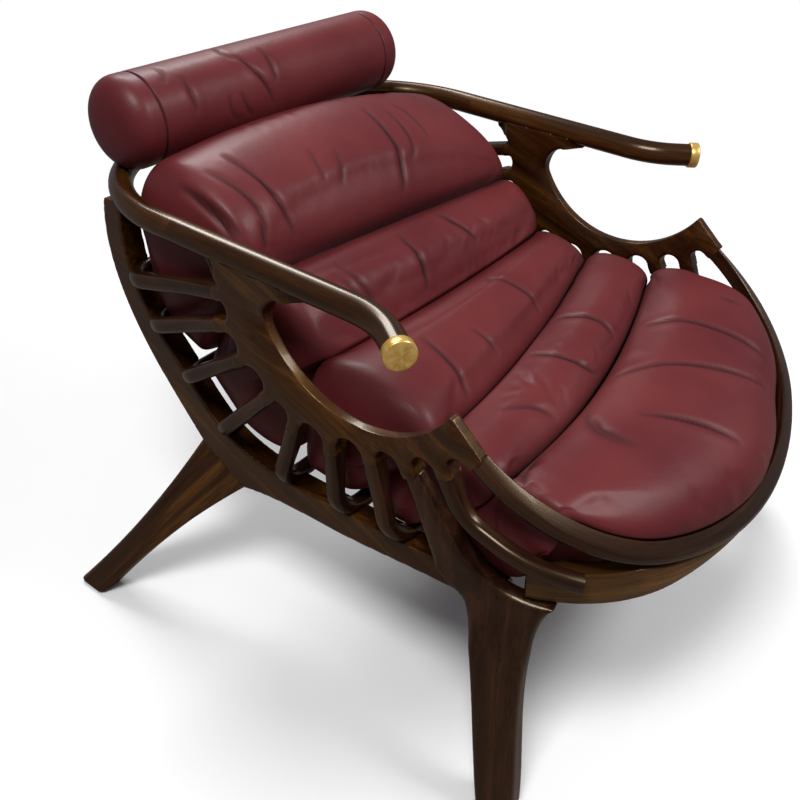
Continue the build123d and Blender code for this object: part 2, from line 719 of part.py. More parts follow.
# Every piece, with the name of its file.
pieces = {
    "side_panel_right": side_panel_right,
    "side_panel_left": side_panel_left,
    "arm_right": arm_right,
    "arm_left": arm_left,
    "back_rail": back_rail,
    "rail_pegs": rail_pegs,
    "brass_cap_right": brass_cap_right,
    "brass_cap_left": brass_cap_left,
    "rib_dowels": rib_dowels,
    "rim_dowels": rim_dowels,
    "post_dowels": post_dowels,
    "front_rim": front_rim,
    "front_apron": front_apron,
    "front_brace_right": front_brace_right,
    "front_brace_left": front_brace_left,
    "keel_right": keel_right,
    "keel_left": keel_left,
    "front_leg_right": front_leg_right,
    "front_leg_left": front_leg_left,
    "rear_leg_right": rear_leg_right,
    "rear_leg_left": rear_leg_left,
    "leg_pegs": leg_pegs,
    "leg_bolts": leg_bolts,
    "foot_glides": foot_glides,
    "head_bolster": head_bolster,
}
for number, rib in enumerate(ribs):
    pieces[f"rib_{number + 1}"] = rib
roll_names = ("pad_front_roll", "pad_seat_roll", "pad_hip_roll", "pad_lumbar_roll", "pad_back_roll")
for name, roll in zip(roll_names, rolls):
    pieces[name] = roll
for name, piece in pieces.items():
    save(name, piece)
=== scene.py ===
from math import atan2, ceil, cos, pi, radians, sin, sqrt, tan

import bmesh
import bpy
import numpy as np
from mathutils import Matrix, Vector
from mathutils.bvhtree import BVHTree


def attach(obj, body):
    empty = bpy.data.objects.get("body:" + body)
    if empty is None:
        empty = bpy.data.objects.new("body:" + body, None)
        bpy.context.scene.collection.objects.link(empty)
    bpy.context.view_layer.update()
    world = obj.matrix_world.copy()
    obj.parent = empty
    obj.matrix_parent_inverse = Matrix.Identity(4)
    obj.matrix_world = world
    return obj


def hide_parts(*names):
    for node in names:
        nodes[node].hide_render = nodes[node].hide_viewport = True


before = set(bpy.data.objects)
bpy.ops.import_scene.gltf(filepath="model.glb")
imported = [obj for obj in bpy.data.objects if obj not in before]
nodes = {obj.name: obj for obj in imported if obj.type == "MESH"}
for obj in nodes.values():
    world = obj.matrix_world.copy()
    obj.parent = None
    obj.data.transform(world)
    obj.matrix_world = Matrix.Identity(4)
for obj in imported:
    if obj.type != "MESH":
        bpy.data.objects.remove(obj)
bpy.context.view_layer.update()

scene = bpy.context.scene

# Ribs. Seven bars of dark wood, each bent into a U, run from finger to finger of the side boards
# and cradle the pad. They are dowelled end to end to the fingers and are a little wider there.
# Sizes are in metres, as in the CAD model, and the chair faces -Y. Each bar starts inside the end
# of its finger, by lap.
depth, arm_height, reach = 0.926, 0.572, 0.319
bar, bend, edge_round = 0.021, 0.052, 0.008
finger_length, lap = 0.010, 0.002
rib_root_shares = [
    (0.640, 0.932), (0.646, 0.855), (0.616, 0.787), (0.570, 0.726),
    (0.527, 0.685), (0.465, 0.673), (0.401, 0.696),
]
rib_crossing_shares = [
    (0.864, 0.851), (0.833, 0.740), (0.775, 0.624), (0.707, 0.510),
    (0.582, 0.453), (0.470, 0.451), (0.375, 0.455),
]


def place(depth_share, height_share):
    """The point (Y, Z) of the side view at these shares of depth and arm height."""
    return np.array([(depth_share - 0.5) * depth, height_share * arm_height])


def unit(vector):
    vector = np.asarray(vector, float)
    return vector / np.linalg.norm(vector)


def shader(name, color, roughness, metallic=0.0, coat=0.0, coat_roughness=0.1, specular=0.5):
    """A new material with one Principled shader. Returns the material, its node tree and the shader."""
    mat = bpy.data.materials.new(name)
    mat.use_nodes = True
    tree = mat.node_tree
    bsdf = next(n for n in tree.nodes if n.type == "BSDF_PRINCIPLED")
    bsdf.inputs["Base Color"].default_value = (*color, 1)
    bsdf.inputs["Roughness"].default_value = roughness
    bsdf.inputs["Metallic"].default_value = metallic
    bsdf.inputs["Coat Weight"].default_value = coat
    bsdf.inputs["Coat Roughness"].default_value = coat_roughness
    bsdf.inputs["Specular IOR Level"].default_value = specular
    return mat, tree, bsdf


def node(tree, kind, **values):
    """A new shader node, with its properties and sockets set."""
    made = tree.nodes.new(kind)
    for key, value in values.items():
        if hasattr(made, key):
            setattr(made, key, value)
        else:
            made.inputs[key.replace("_", " ")].default_value = value
    return made


def stretched(tree, source, scale, detail, roughness=0.55, distortion=0.0):
    """Noise on the given coordinates, stretched by the three scales."""
    mapping = node(tree, "ShaderNodeMapping", Scale=scale)
    tree.links.new(source, mapping.inputs["Vector"])
    noise = node(
        tree, "ShaderNodeTexNoise", Scale=1.0, Detail=detail, Roughness=roughness, Distortion=distortion
    )
    tree.links.new(mapping.outputs["Vector"], noise.inputs["Vector"])
    return noise.outputs["Fac"]


def ramp(tree, source, stops):
    """A colour ramp fed by source, with stops of (position, colour)."""
    made = tree.nodes.new("ShaderNodeValToRGB")
    elements = made.color_ramp.elements
    while len(elements) < len(stops):
        elements.new(0.5)
    for element, (position, color) in zip(elements, stops):
        element.position = position
        element.color = (*color, 1)
    tree.links.new(source, made.inputs["Fac"])
    return made.outputs["Color"]


def bump(tree, bsdf, source, strength, distance, under=None):
    """Bumps the shader's normal by source. Returns the bump's output for one laid over it."""
    made = node(tree, "ShaderNodeBump", Strength=strength, Distance=distance)
    tree.links.new(source, made.inputs["Height"])
    if under:
        tree.links.new(under, made.inputs["Normal"])
    tree.links.new(made.outputs["Normal"], bsdf.inputs["Normal"])
    return made.outputs["Normal"]


def wood(name, dark, middle, light, roughness=0.27, coat=0.12):
    """Lacquered wood whose grain follows the attribute "grain": first axis along, others across."""
    mat, tree, bsdf = shader(name, middle, roughness, coat=coat, coat_roughness=0.06, specular=0.42)
    bsdf.inputs["Specular Tint"].default_value = (1, 0.74, 0.46, 1)
    grain = node(tree, "ShaderNodeAttribute", attribute_name="grain").outputs["Vector"]
    bands = stretched(tree, grain, (2.6, 38, 38), 5, 0.6, 1.1)
    color = ramp(tree, bands, [(0.30, dark), (0.52, middle), (0.74, light)])
    pores = stretched(tree, grain, (26, 620, 620), 2, 0.5)
    pore_color = ramp(tree, pores, [(0.36, (0.62, 0.62, 0.62)), (0.50, (1, 1, 1))])
    mix = node(tree, "ShaderNodeMix", data_type="RGBA", blend_type="MULTIPLY")
    mix.inputs["Factor"].default_value = 1.0
    tree.links.new(color, mix.inputs["A"])
    tree.links.new(pore_color, mix.inputs["B"])
    tree.links.new(mix.outputs["Result"], bsdf.inputs["Base Color"])
    bump(tree, bsdf, pores, 0.12, 0.0004)
    return mat


umber = wood("umber", (0.009, 0.0028, 0.0014), (0.025, 0.0085, 0.0042), (0.056, 0.021, 0.010))


def dress(obj, material, stands_for, body="frame"):
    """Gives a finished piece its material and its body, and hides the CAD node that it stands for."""
    obj.data.materials.clear()
    obj.data.materials.append(material)
    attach(obj, body)
    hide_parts(stands_for)


def lay_grain(mesh, coordinates, shift):
    """Stores the grain's coordinates on every vertex, moved along by shift so no two pieces match."""
    grain = np.array(coordinates, float)
    grain[:, 0] += shift
    grain[:, 1] += shift * 0.37
    mesh.attributes.new("grain", "FLOAT_VECTOR", "POINT").data.foreach_set("vector", grain.ravel())


def new_object(name, vertices, faces, smooth=True):
    mesh = bpy.data.meshes.new(name)
    mesh.from_pydata([tuple(v) for v in vertices], [], faces)
    mesh.update()
    mesh.polygons.foreach_set("use_smooth", [smooth] * len(mesh.polygons))
    obj = bpy.data.objects.new(name, mesh)
    scene.collection.objects.link(obj)
    return obj


def rounded_path(points, radii, step=radians(4)):
    """Points along a line through the given corners, each corner rounded to its radius."""
    points = [np.asarray(p, float) for p in points]
    line = [points[0]]
    for before, corner, after, radius in zip(points, points[1:], points[2:], radii):
        a, b = unit(before - corner), unit(after - corner)
        turn = pi - np.arccos(np.clip(a @ b, -1, 1))
        start = corner + a * radius * tan(turn / 2)
        centre = corner + unit(a + b) * radius / cos(turn / 2)
        x, y = (start - centre) / radius, unit(-a)
        count = max(3, ceil(turn / step))
        for angle in [turn * i / count for i in range(count + 1)]:
            line.append(centre + radius * (x * cos(angle) + y * sin(angle)))
    line.append(points[-1])
    return subdivided(line)


def subdivided(line, longest=0.02):
    """The line with extra points, so that no stretch is longer than the given length."""
    result = [np.asarray(line[0], float)]
    for a, b in zip(line, line[1:]):
        a, b = np.asarray(a, float), np.asarray(b, float)
        parts = max(1, ceil(np.linalg.norm(b - a) / longest))
        result += [a + (b - a) * i / parts for i in range(1, parts + 1)]
    return np.array(result)


def rounded_section(width, height, *radii, corner_steps=6):
    """A rectangle with rounded corners, as points (across, up), from its outer top corner round."""
    loop = []
    for corner, (sx, sy) in enumerate(((1, 1), (-1, 1), (-1, -1), (1, -1))):
        r = radii[corner % len(radii)]
        for i in range(corner_steps + 1):
            angle = corner * pi / 2 + pi / 2 * i / corner_steps
            loop.append((sx * (width / 2 - r) + r * cos(angle), sy * (height / 2 - r) + r * sin(angle)))
    return np.array(loop)


def swept(name, path, section, up, shift=0.0, scale=None):
    """A bar along the path. The section's first axis is path x up, its second is up, which is carried
    along without twist. scale gives the section's factors (across, up) at a length."""
    path = np.asarray(path)
    tangents = np.gradient(path, axis=0)
    tangents /= np.linalg.norm(tangents, axis=1)[:, None]
    ups = []
    for tangent in tangents:
        up = unit(up - (np.asarray(up) @ tangent) * tangent)
        ups.append(up)
    ups = np.array(ups)
    across = np.cross(tangents, ups)
    lengths = np.concatenate([[0], np.cumsum(np.linalg.norm(np.diff(path, axis=0), axis=1))])
    count, sides = len(path), len(section)
    vertices, grain = [], []
    for i in range(count):
        fx, fy = scale(lengths[i], lengths[-1]) if scale else (1, 1)
        for u, v in section:
            vertices.append(path[i] + across[i] * u * fx + ups[i] * v * fy)
            grain.append((lengths[i], u, v))
    faces = []
    for i in range(count - 1):
        for j in range(sides):
            k = (j + 1) % sides
            faces.append((i * sides + j, i * sides + k, (i + 1) * sides + k, (i + 1) * sides + j))
    last = (count - 1) * sides
    vertices += vertices[:sides] + vertices[last:]
    grain += grain[:sides] + grain[last:]
    faces.append(tuple(range(count * sides, (count + 1) * sides))[::-1])
    faces.append(tuple(range((count + 1) * sides, (count + 2) * sides)))
    obj = new_object(name, vertices, faces)
    for face in (obj.data.polygons[-1], obj.data.polygons[-2]):
        face.use_smooth = False
    outward = Vector(vertices[0]) - Vector(path[0])
    if obj.data.polygons[0].normal.dot(outward) < 0:
        obj.data.flip_normals()
    lay_grain(obj.data, grain, shift)
    return obj


def end_swell(length, total, width=1.42, run=0.07):
    """Factors that widen a bar near both ends."""
    near = min(length, total - length, run) / run
    return 1 + (width - 1) * (1 - near) ** 2 * (1 + 2 * near), 1


bar_section = rounded_section(bar, bar, edge_round)
rib_roots = [place(*shares) for shares in rib_root_shares]
rib_crossings = [place(*shares) for shares in rib_crossing_shares]
for number, (root, crossing) in enumerate(zip(rib_roots, rib_crossings)):
    heading = unit(crossing - root)
    end = root + heading * (finger_length - lap)
    corners = [(-reach, *end), (-reach, *crossing), (reach, *crossing), (reach, *end)]
    path = rounded_path(corners, [bend, bend])
    up = np.array([0, -heading[1], heading[0]])
    rib = swept(f"rib_{number + 1}_bar", path, bar_section, up, number * 1.7, end_swell)
    dress(rib, umber, f"rib_{number + 1}")

# Arm rails and back rail. Round bars of walnut in one gently rising plane, flared outwards at the
# front. Each arm is saddled on its side board's top edge and pegged to the back rail behind it.
rail_radius, rail_slope, rail_front = 0.016, radians(2.7), (0.324 - 0.5) * depth
rail_bend, rail_straight = 0.210, 0.030
flare_out, flare_length, flare_bend = 0.041, 0.056, 0.110
walnut = wood("walnut", (0.013, 0.0034, 0.0008), (0.040, 0.0125, 0.0024), (0.105, 0.041, 0.0070))
rail_x, rail_y = np.array([1, 0, 0]), np.array([0, cos(rail_slope), sin(rail_slope)])
rail_up = np.cross(rail_x, rail_y)


def on_rail(x, y):
    """The point of the rail's plane at these distances from the middle of its front edge."""
    return np.array([0, rail_front, arm_height]) + rail_x * x + rail_y * y


def circle_section(radius, count=28):
    angles = [2 * pi * i / count for i in range(count)]
    return np.array([(radius * cos(angle), radius * sin(angle)) for angle in angles])


def as_array(mesh):
    spots = np.empty(len(mesh.vertices) * 3)
    mesh.vertices.foreach_get("co", spots)
    return spots.reshape(-1, 3)


def set_array(mesh, spots):
    mesh.vertices.foreach_set("co", np.asarray(spots, float).ravel())
    mesh.update()


def mirrored(obj, name):
    """The same piece on the other side."""
    mesh = obj.data.copy()
    spots = as_array(mesh)
    spots[:, 0] *= -1
    set_array(mesh, spots)
    mesh.flip_normals()
    twin = bpy.data.objects.new(name, mesh)
    scene.collection.objects.link(twin)
    return twin


rail_back = (depth / 2 - rail_radius - rail_front) / cos(rail_slope)
rail_joint = rail_back - rail_bend - rail_straight
flare_end, flare_knee = on_rail(-reach - flare_out, 0), on_rail(-reach, flare_length)
flare = unit(flare_end - flare_knee)
cap_length = 0.013
path = [flare_end - flare * cap_length, flare_knee, on_rail(-reach, rail_joint)]
path = rounded_path(path, [flare_bend])
arm = swept("arm_rail_right", path, circle_section(rail_radius), rail_up, 3.1)
dress(arm, walnut, "arm_right")
dress(mirrored(arm, "arm_rail_left"), walnut, "arm_left")
corners = [(-reach, rail_joint), (-reach, rail_back), (reach, rail_back), (reach, rail_joint)]
path = rounded_path([on_rail(*corner) for corner in corners], [rail_bend, rail_bend])
back_rail = swept("back_rail_bar", path, circle_section(rail_radius), rail_up, 5.3)
dress(back_rail, walnut, "back_rail")

# Brass caps. Discs turned from brass bar, with a softened rim and fine turning marks on the face.
# Each has a spigot, let into the end of an arm rail. Its colour holds a painted sheen, lighter and
# darker in patches round the face. The marks and the painted sheen follow the attribute "grain".
brass, tree, bsdf = shader("brass", (0.9, 0.7, 0.34), 0.30, metallic=0.65)
# Painted sheen: the base colour runs from dark to bright brass in patches round the face and across its
# rings, in place of the turned face's reflection.
painted_sheen_tones = [(0.35, (0.66, 0.36, 0.07)), (0.65, (1.0, 0.68, 0.22))]
turned_marks = node(tree, "ShaderNodeAttribute", attribute_name="grain").outputs["Vector"]
painted_sheen = stretched(tree, turned_marks, (7, 60, 1), 2)
tree.links.new(ramp(tree, painted_sheen, painted_sheen_tones), bsdf.inputs["Base Color"])
bump(tree, bsdf, stretched(tree, turned_marks, (5, 2600, 5), 2), 0.10, 0.0003)


def turned(name, profile, origin, axis, count=72):
    """A body of revolution: profile gives (along, radius) from one end of the axis to the other."""
    axis = unit(axis)
    side = unit(np.cross(axis, (0, 0, 1)))
    other = np.cross(axis, side)
    vertices, faces, grain = [], [], []
    for along, radius in profile:
        for j in range(count):
            angle = 2 * pi * j / count
            vertices.append(origin + axis * along + (side * cos(angle) + other * sin(angle)) * radius)
            grain.append((j / count, radius, along))
    for i in range(len(profile) - 1):
        for j in range(count):
            k = (j + 1) % count
            faces.append((i * count + j, i * count + k, (i + 1) * count + k, (i + 1) * count + j))
    obj = new_object(name, vertices, faces)
    lay_grain(obj.data, grain, 0)
    return obj


face_rings = [(0.0, r) for r in (0.0003, 0.004, 0.008, 0.012, 0.0158)]
edge_rings = [(0.0004, 0.0170), (0.0012, 0.0178), (0.0022, 0.0180), (0.0118, 0.0180)]
back_rings = [(cap_length, 0.0172), (cap_length, 0.0003)]
cap = turned("cap_right", face_rings + edge_rings + back_rings, flare_end, -flare)
dress(cap, brass, "brass_cap_right")
dress(mirrored(cap, "cap_left"), brass, "brass_cap_left")

# Front rim. A bar bent round the front of the seat, in the plane of the side boards' tips, to which
# it is dowelled. It has a crest along its top and starts as narrow as the tips.
rim_slope, rim_corner, rim_width, rim_depth = radians(34.8), 0.240, 0.026, 0.022


def front_curve(half_width, corner, reach_forward):
    """A U with a flatter front arc: its corner arcs' offset, the front arc's setback, turn and radius."""
    offset, extra = half_width - corner, reach_forward - corner
    setback = (offset**2 - extra**2) / (2 * extra)
    return offset, setback, atan2(setback, offset), reach_forward + setback


def three_arcs(half_width, corner, reach_forward, count=26):
    """Points (across, forward) of a U made of two corner arcs and a flatter front arc."""
    offset, setback, turn, radius = front_curve(half_width, corner, reach_forward)
    angles = [turn * i / count for i in range(count)]
    corner_arc = [(-offset - corner * cos(a), corner * sin(a)) for a in angles]
    front = [(-radius * cos(a), radius * sin(a) - setback) for a in np.linspace(turn, pi / 2, count)]
    half = np.array(corner_arc + front)
    return np.concatenate([half, half[-2::-1] * (-1, 1)])


rim_heading = np.array([0, -cos(rim_slope), -sin(rim_slope)])
rim_joint = np.array([0, *place(0.249, 0.788)])
rim_reach = (rim_joint[1] + depth / 2 - rim_depth / 2 * sin(rim_slope)) / cos(rim_slope)
rim_reach -= rim_width / 2
flat = three_arcs(reach, rim_corner, rim_reach)
path = rim_joint + flat[:, :1] * np.array([1, 0, 0]) + flat[:, 1:] * rim_heading
rim_up = np.array([0, -sin(rim_slope), cos(rim_slope)])
section_shares = [(-0.5, 0), (-0.45, 0.5), (0.33, 0.27), (0.5, -0.06), (0.34, -0.5), (-0.5, -0.5), (-0.5, 0)]
corners = [(a * rim_width, b * rim_depth) for a, b in section_shares]
section = rounded_path(corners, [0.0028, 0.009, 0.006, 0.005, 0.006], radians(14))[:-1]


def rim_growth(length, total):
    """Factors that let the rim start as narrow as the boards' tips."""
    near = min(min(length, total - length) / 0.11, 1)
    return 0.66 + 0.34 * near**2 * (3 - 2 * near), 1


rim = swept("front_rim_bar", path, section, rim_up, 7.9, rim_growth)
dress(rim, umber, "front_rim")

# Front apron. A golden-brown board bent round under the rim, and cut off along the rim's underside.
# The yokes of the front legs hold its ends.
apron_low, apron_high, apron_thick = 0.489 * arm_height, 0.568 * arm_height, 0.025
apron_inset, apron_corner, apron_setback = 0.016, 0.185, 0.014
apron_back = (0.181 - 0.5) * depth
golden = wood("golden", (0.045, 0.017, 0.004), (0.10, 0.042, 0.010), (0.19, 0.090, 0.025))
apron_reach = rim_joint[1] + depth / 2 - apron_setback - apron_thick / 2
flat = three_arcs(reach - apron_inset, apron_corner, apron_reach)
path = np.array([(x, rim_joint[1] - y, (apron_low + apron_high) / 2) for x, y in flat])
path = subdivided(path[path[:, 1] < apron_back + 0.02], 0.012)
section = rounded_section(apron_thick, apron_high - apron_low, 0.004)
apron = swept("front_apron_board", path, section, (0, 0, 1), 9.2)
for vertex in apron.data.vertices:
    y, z = vertex.co.y, vertex.co.z
    ceiling = rim_joint[2] + (y - rim_joint[1]) * tan(rim_slope) - rim_depth / 2 / cos(rim_slope)
    vertex.co.z = max(min(z, ceiling - 0.0002), apron_low)
    vertex.co.y = min(y, apron_back)
dress(apron, golden, "front_apron")

# Front braces. Bars of dark wood, dowelled to the ninth fingers. Each drops, turns forward and in,
# and is let into the apron's outer face.
brace_bend, turn_radius, turn_angle = 0.055, 0.175, radians(33)


def root_swell(length, total):
    """Factors that widen a bar near its start alone, as if its end were far away."""
    return end_swell(length, total + 1)


root, knee, run = place(0.292, 0.747), place(0.265, 0.642), place(0.218, 0.619)
heading = unit(knee - root)
start = np.array([-reach, *(root + heading * (finger_length - lap))])
drop = rounded_path([start, (-reach, *knee), (-reach, *run)], [brace_bend])
forward, inward = np.array([0, *unit(run - knee)]), np.array([1, 0, 0])
turns = np.linspace(0, turn_angle, 18)[1:, None]
arc = np.array([-reach, *run]) + turn_radius * (forward * np.sin(turns) + inward * (1 - np.cos(turns)))
path = np.concatenate([drop, arc])
brace_up = (0, -heading[1], heading[0])
brace = swept("front_brace_bar_right", path, bar_section, brace_up, 11.0, root_swell)
dress(brace, umber, "front_brace_right")
dress(mirrored(brace, "front_brace_bar_left"), umber, "front_brace_left")

# Side boards. Each is carved by hand from a thick board of walnut, with ten fingers along its lower
# edge. Its faces fall away to a thin edge round the arm opening and to the tip, its other edges are
# rounded over, and each finger keeps its full section where a bar is dowelled to it.
board_half, thin_half, thin_run, rounding = 0.015, 0.0065, 0.036, 0.0075
end_depth = 0.0016


def modified(obj, kind, **settings):
    """Adds a modifier to an object and applies it."""
    modifier = obj.modifiers.new(kind, kind)
    for key, value in settings.items():
        setattr(modifier, key, value)
    made = bpy.data.meshes.new_from_object(obj.evaluated_get(bpy.context.evaluated_depsgraph_get()))
    obj.modifiers.clear()
    old, obj.data = obj.data, made
    bpy.data.meshes.remove(old)


def copied(name, *node_names):
    """A copy of CAD nodes' meshes in one object, with its vertices joined."""
    joined = bmesh.new()
    for node_name in node_names:
        joined.from_mesh(nodes[node_name].data)
    bmesh.ops.remove_doubles(joined, verts=joined.verts, dist=1e-5)
    mesh = bpy.data.meshes.new(name)
    joined.to_mesh(mesh)
    joined.free()
    obj = bpy.data.objects.new(name, mesh)
    scene.collection.objects.link(obj)
    return obj


def eased(mesh, rounds, weights=1.0, keep=True):
    """Smooths a mesh more where the weights are higher, without shrinking it if keep is set."""
    spots = as_array(mesh)
    ends = np.empty(len(mesh.edges) * 2, int)
    mesh.edges.foreach_get("vertices", ends)
    a, b = ends[::2], ends[1::2]
    count = len(spots)
    degree = np.maximum(np.bincount(a, minlength=count) + np.bincount(b, minlength=count), 1)
    weights = np.broadcast_to(weights, count)
    for step in range(rounds * 2):
        amount = (0.55 if step % 2 == 0 else -0.57 if keep else 0.4) * weights
        for axis in range(3):
            line = spots[:, axis]
            mean = (np.bincount(a, line[b], count) + np.bincount(b, line[a], count)) / degree
            spots[:, axis] = line + amount * (mean - line)
    set_array(mesh, spots)


def ramped(values, start, run):
    """Shares that grow from 0 at the start to 1 at the end of the run, which may be negative."""
    return np.clip((values - start) / run, 0, 1)


def far_from(spots, where, heading, near, far):
    """Weights that are 0 beside a plane where a piece meets another, and 1 well away from it."""
    return ramped(np.abs((spots - where) @ unit(heading)), near, far - near)


def carve(obj, voxel=0.0022):
    """Remeshes a copy of a CAD solid finely and evenly, ready to be eased."""
    modified(obj, "REMESH", mode="VOXEL", voxel_size=voxel, use_smooth_shade=True)
    obj.data.polygons.foreach_set("use_smooth", [True] * len(obj.data.polygons))
    return obj


def grain_along(obj, axis, shift):
    """Lays straight grain through a piece along the axis."""
    axis = unit(axis)
    side = unit(np.cross(axis, (1, 0, 0.001)))
    spots = as_array(obj.data)
    lay_grain(obj.data, np.stack([spots @ axis, spots @ side, spots @ np.cross(axis, side)], 1), shift)


def outline_walls(name):
    """The edges (Y, Z) of a side board's outline, taken from the outer face of its CAD solid."""
    source = copied("outline_source", name)
    mesh = bmesh.new()
    mesh.from_mesh(source.data)
    found = []
    for edge in mesh.edges:
        a, b = edge.verts
        if all(abs(corner.co.x + reach + board_half) < 1e-4 for corner in (a, b)):
            tilts = [abs(face.normal.x) for face in edge.link_faces]
            if min(tilts) < 0.5 < max(tilts):
                found.append((tuple(a.co.yz), tuple(b.co.yz)))
    mesh.free()
    bpy.data.objects.remove(source)
    return np.array(found)


board = carve(copied("side_board_right", "side_panel_right"), 0.0021)
walls = outline_walls("side_panel_right")
middles = walls.mean(axis=1)

# The fingers, from the back to the front: seven for the ribs, one for the leg, one for the brace,
# and the tip, which meets the rim. The walls in these joints aren't rounded.
finger_roots = [*rib_roots, place(0.343, 0.710), place(0.292, 0.747)]
finger_targets = [*rib_crossings, place(0.2754, 0.5245), place(0.265, 0.642)]
finger_headings = [unit(target - root) for root, target in zip(finger_roots, finger_targets)]
rim_flat = np.array([-cos(rim_slope), -sin(rim_slope)])
finger_roots.append(rim_joint[1:] - rim_flat * finger_length)
finger_headings.append(rim_flat)
joins = np.zeros(len(walls), bool)
for root, heading in zip(finger_roots, finger_headings):
    away = middles - root - heading * finger_length
    across = away @ np.array([-heading[1], heading[0]])
    joins |= (np.abs(away @ heading) < 0.0006) & (np.abs(across) < 0.0125)

# The arm opening's long edge is an arc of a circle through these three points of the CAD outline.
tip, low, back = place(0.285, 0.869), place(0.437, 0.750), place(0.566, 0.895)
chord_1, chord_2 = low - tip, back - tip
matrix = 2 * np.array([chord_1, chord_2])
arc_centre = tip + np.linalg.solve(matrix, [chord_1 @ chord_1, chord_2 @ chord_2])
arc_radius = np.linalg.norm(tip - arc_centre)
thin = np.abs(np.linalg.norm(middles - arc_centre, axis=1) - arc_radius) < 0.002
thin |= np.linalg.norm(middles - tip, axis=1) < 0.034
under_rail = middles[:, 1] > 0.556


def wall_distance(flat, chosen):
    """How far each point of the board's outline plane is from the chosen walls."""
    best = np.full(len(flat), 9.0)
    for start, end in walls[chosen]:
        run = end - start
        share = np.clip(((flat - start) @ run) / max(run @ run, 1e-12), 0, 1)
        best = np.minimum(best, np.linalg.norm(flat - start - share[:, None] * run, axis=1))
    return best


spots = as_array(board.data)
to_edge = wall_distance(spots[:, 1:], ~joins & ~under_rail)
to_thin = wall_distance(spots[:, 1:], thin & ~joins & ~under_rail)
inside = np.clip(rounding - to_edge, 0, None)
rounded = board_half - rounding + np.sqrt(np.clip(rounding**2 - inside**2, 0, None))
thinned = thin_half + 0.0085 * (1 - (1 - ramped(to_thin, 0, thin_run)) ** 2)
allowed = np.minimum(rounded, thinned)

# The board also thins where the arm rail grows out of it, at either end of its top, and at the rim.
for root in (place(0.502, 0.980), place(0.670, 0.989)):
    to_root = np.linalg.norm(spots[:, 1:] - root, axis=1)
    allowed = np.minimum(allowed, 0.003 + 0.012 * ramped(to_root, 0, 0.026) ** 1.5)
to_rim = np.linalg.norm(spots[:, 1:] - rim_joint[1:], axis=1)
allowed = np.minimum(allowed, 0.0086 + 0.0064 * ramped(to_rim, 0.016, 0.030))
spots[:, 0] = -reach + np.clip(spots[:, 0] + reach, -allowed, allowed)
set_array(board.data, spots)
weights = np.ones(len(spots))
for root, heading in zip(finger_roots, finger_headings):
    end = np.array([-reach, *(root + heading * finger_length)])
    nearby = np.linalg.norm(spots[:, 1:] - end[1:], axis=1) < 0.02
    held = far_from(spots, end, (0, *heading), 0.0035, 0.009)
    weights = np.where(nearby, np.minimum(weights, held), weights)

# A light easing smooths the whole surface, and a further one the ridge of the thin edges. Then the
# fingers' ends are pushed out against the bars, so that no gap shows.
eased(board.data, 7, weights)
eased(board.data, 9, weights * np.clip(1.3 - to_thin / 0.007, 0, 1), keep=False)
spots = as_array(board.data)
for root, heading in zip(finger_roots, finger_headings):
    away = spots[:, 1:] - root - heading * finger_length
    at_end = (np.abs(away @ heading) < end_depth) & (np.linalg.norm(away, axis=1) < 0.016)
    spots[at_end, 1:] += heading * end_depth
set_array(board.data, spots)
grain_along(board, (0, 0.93, 0.36), 13.0)
dress(board, walnut, "side_panel_right")
dress(mirrored(board, "side_board_left"), walnut, "side_panel_left")

# Front legs. Each is one piece of dark wood with its yoke and the strut of the eighth finger. It is
# dowelled to the finger and bolted to the keel at its yoke, and eased all over by hand.
foot_run, shaft_low, shaft_run = 0.05, 0.10, 0.1
toe_low, toe_high, toe_back, strut_low = 0.20, 0.30, -0.21, 0.37
leg = carve(copied("front_leg_carved_right", "front_leg_right"))
spots = as_array(leg.data)
end = np.array([-reach, *(finger_roots[7] + finger_headings[7] * finger_length)])
from_joint = far_from(spots, end, (0, *finger_headings[7]), 0.003, 0.03)
weights = np.minimum(from_joint, ramped(spots[:, 2], 0, foot_run))
eased(leg.data, 110, weights)
eased(leg.data, 10, weights * ramped(spots[:, 2], shaft_low, shaft_run), keep=False)
toe = ramped(spots[:, 2], toe_low, 0.03) * ramped(spots[:, 2], toe_high, -0.02)
eased(leg.data, 60, toe * ramped(spots[:, 1], toe_back, -0.03), keep=False)
spots = as_array(leg.data)
at_end = np.abs((spots - end) @ (0, *finger_headings[7])) < end_depth
spots[at_end & (spots[:, 2] > strut_low), 1:] -= finger_headings[7] * 0.0012
set_array(leg.data, spots)
grain_along(leg, (-0.25, -0.15, -1), 17.0)
dress(leg, umber, "front_leg_right")
dress(mirrored(leg, "front_leg_carved_left"), umber, "front_leg_left")

# Keels and rear legs. A keel is one walnut board, a post up to the back rail and a rail under the
# ribs, and the rear leg is pegged to its lower corner. The two are eased as one, so that their joint
# flows, and then sawn apart.
top, bottom = place(0.761, 0.446), place(0.675, 0.355)
joint_place = np.array([-(reach - 0.032), *((top + bottom) / 2)])
along = unit(bottom - top)
joint_normal = np.array([0, -along[1], along[0]])
joined = carve(copied("keel_and_leg", "keel_right", "rear_leg_right"), 0.0024)
spots = as_array(joined.data)
near_joint = 1 - far_from(spots, joint_place, joint_normal, 0.03, 0.10)
weights = 0.12 + 0.88 * near_joint * (spots[:, 2] < 0.34)
weights = weights * ramped(spots[:, 2], 0.003, 0.04)
eased(joined.data, 60, weights)


def sawn(source, name, where, normal):
    """The part of a mesh on the far side of a plane, closed where it is cut."""
    mesh = bmesh.new()
    mesh.from_mesh(source.data)
    everything = mesh.verts[:] + mesh.edges[:] + mesh.faces[:]
    cut = bmesh.ops.bisect_plane(
        mesh, geom=everything, plane_co=where, plane_no=normal, clear_inner=True, dist=1e-6
    )
    edges = [item for item in cut["geom_cut"] if isinstance(item, bmesh.types.BMEdge)]
    bmesh.ops.holes_fill(mesh, edges=edges, sides=0)
    made = bpy.data.meshes.new(name)
    mesh.to_mesh(made)
    mesh.free()
    obj = bpy.data.objects.new(name, made)
    scene.collection.objects.link(obj)
    return obj


